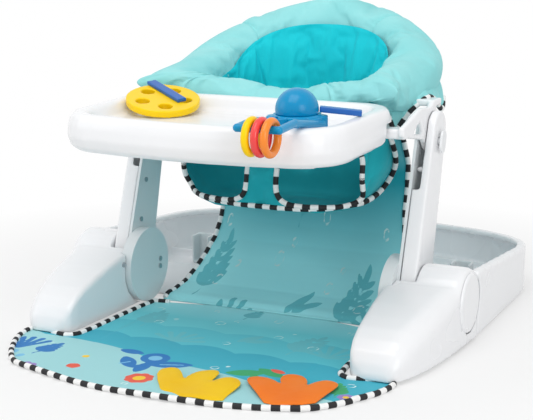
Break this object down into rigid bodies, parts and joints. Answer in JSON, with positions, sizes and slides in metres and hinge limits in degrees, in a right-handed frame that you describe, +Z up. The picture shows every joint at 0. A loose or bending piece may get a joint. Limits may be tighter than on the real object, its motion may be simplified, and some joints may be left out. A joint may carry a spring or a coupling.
{
  "type": "baby floor seat",
  "caption": "Folding baby floor seat: a padded ring seat and a snack tray with toys on two posts over a floor base, with a play mat",
  "frame": {"origin": "on the floor, under the middle of the object's bounding box", "axes": "+X to the right of a viewer in front of the seat, +Y from the front of the mat to the rear of the base, +Z up"},
  "size_m": [0.594, 0.792, 0.43],
  "materials": {
    "white_plastic": "glossy",
    "inner_plastic": "satin",
    "steel": "satin",
    "rubber": "matte",
    "button_plastic": "glossy",
    "aqua_cloth": "padded, matte",
    "turquoise_cloth": "matte",
    "mat_cloth": "printed, matte",
    "yellow_cloth": "matte",
    "orange_cloth": "matte",
    "yellow_plastic": "glossy",
    "blue_plastic": "glossy",
    "red_plastic": "glossy",
    "orange_plastic": "glossy"
  },
  "bodies": {
    "base": {"base_pan": "white_plastic", "left_foot": "white_plastic", "right_foot": "white_plastic", "left_foot_cover": "inner_plastic", "right_foot_cover": "inner_plastic", "left_hinge_cap": "white_plastic", "right_hinge_cap": "white_plastic", "left_hinge_axle": "steel", "right_hinge_axle": "steel", "rubber_pads": "rubber", "left_storage_clip": "inner_plastic", "right_storage_clip": "inner_plastic", "foot_screws": "steel", "cover_plate_screws": "steel", "floor_mat": "mat_cloth", "leg_panel": "mat_cloth", "yellow_flap": "yellow_cloth", "orange_flap": "orange_cloth"},
    "posts": {"left_post": "white_plastic", "right_post": "white_plastic", "left_post_cover": "inner_plastic", "right_post_cover": "inner_plastic", "left_hub_disc": "inner_plastic", "right_hub_disc": "inner_plastic", "post_screws": "steel", "hub_disc_screws": "steel", "left_pivot_pin": "steel", "right_pivot_pin": "steel"},
    "seat": {"left_bracket": "white_plastic", "right_bracket": "white_plastic", "seat_hoop": "steel", "ring_sleeve": "aqua_cloth", "seat_liner": "turquoise_cloth", "seat_pouch": "turquoise_cloth"},
    "tray": {"tray": "white_plastic", "left_tray_rail": "inner_plastic", "right_tray_rail": "inner_plastic", "rattle_dome": "blue_plastic", "rattle_skirt": "blue_plastic", "loop_handle": "blue_plastic", "link_strap": "blue_plastic"},
    "teether": {"disc_teether": "yellow_plastic", "teether_strap": "blue_plastic"},
    "button_left": {"left_release_button": "button_plastic"},
    "button_right": {"right_release_button": "button_plastic"},
    "yellow_ring": {"yellow_ring": "yellow_plastic"},
    "red_ring": {"red_ring": "red_plastic"},
    "orange_ring": {"orange_ring": "orange_plastic"}
  },
  "joints": [
    {"name": "frame_fold", "type": "hinge", "parent": "base", "child": "posts", "pos_m": [0, -0.037, 0.057], "axis": [-1, 0, 0], "range_deg": [0, 66], "deforming": ["seat_pouch", "leg_panel"]},
    {"name": "ring_fold", "type": "hinge", "parent": "posts", "child": "seat", "pos_m": [0, 0.02474, 0.27232], "axis": [-1, 0, 0], "range_deg": [-42.1, 0]},
    {"name": "tray_slide", "type": "slide", "parent": "seat", "child": "tray", "axis": [0, -0.9995, -0.0314], "range_m": [0, 0.06]},
    {"name": "left_button_press", "type": "slide", "parent": "posts", "child": "button_left", "axis": [1, 0, 0], "range_m": [0, 0.003], "stiffness_N_per_m": 400},
    {"name": "right_button_press", "type": "slide", "parent": "posts", "child": "button_right", "axis": [-1, 0, 0], "range_m": [0, 0.003], "stiffness_N_per_m": 400},
    {"name": "teether_lift", "type": "slide", "parent": "tray", "child": "teether", "axis": [0.1543, -0.2079, 0.9659], "range_m": [0, 0.04]},
    {"name": "yellow_ring_swing", "type": "hinge", "parent": "tray", "child": "yellow_ring", "pos_m": [0.108, -0.30922, 0.3104], "axis": [-1, 0, 0], "range_deg": [-12, 40]},
    {"name": "red_ring_swing", "type": "hinge", "parent": "tray", "child": "red_ring", "pos_m": [0.108, -0.30922, 0.3104], "axis": [-1, 0, 0], "range_deg": [-12, 40]},
    {"name": "orange_ring_swing", "type": "hinge", "parent": "tray", "child": "orange_ring", "pos_m": [0.108, -0.30922, 0.3104], "axis": [-1, 0, 0], "range_deg": [-12, 40]}
  ],
  "couplings": [
    {"joint": "ring_fold", "follows": "frame_fold", "ratio": -0.6363}
  ]
}
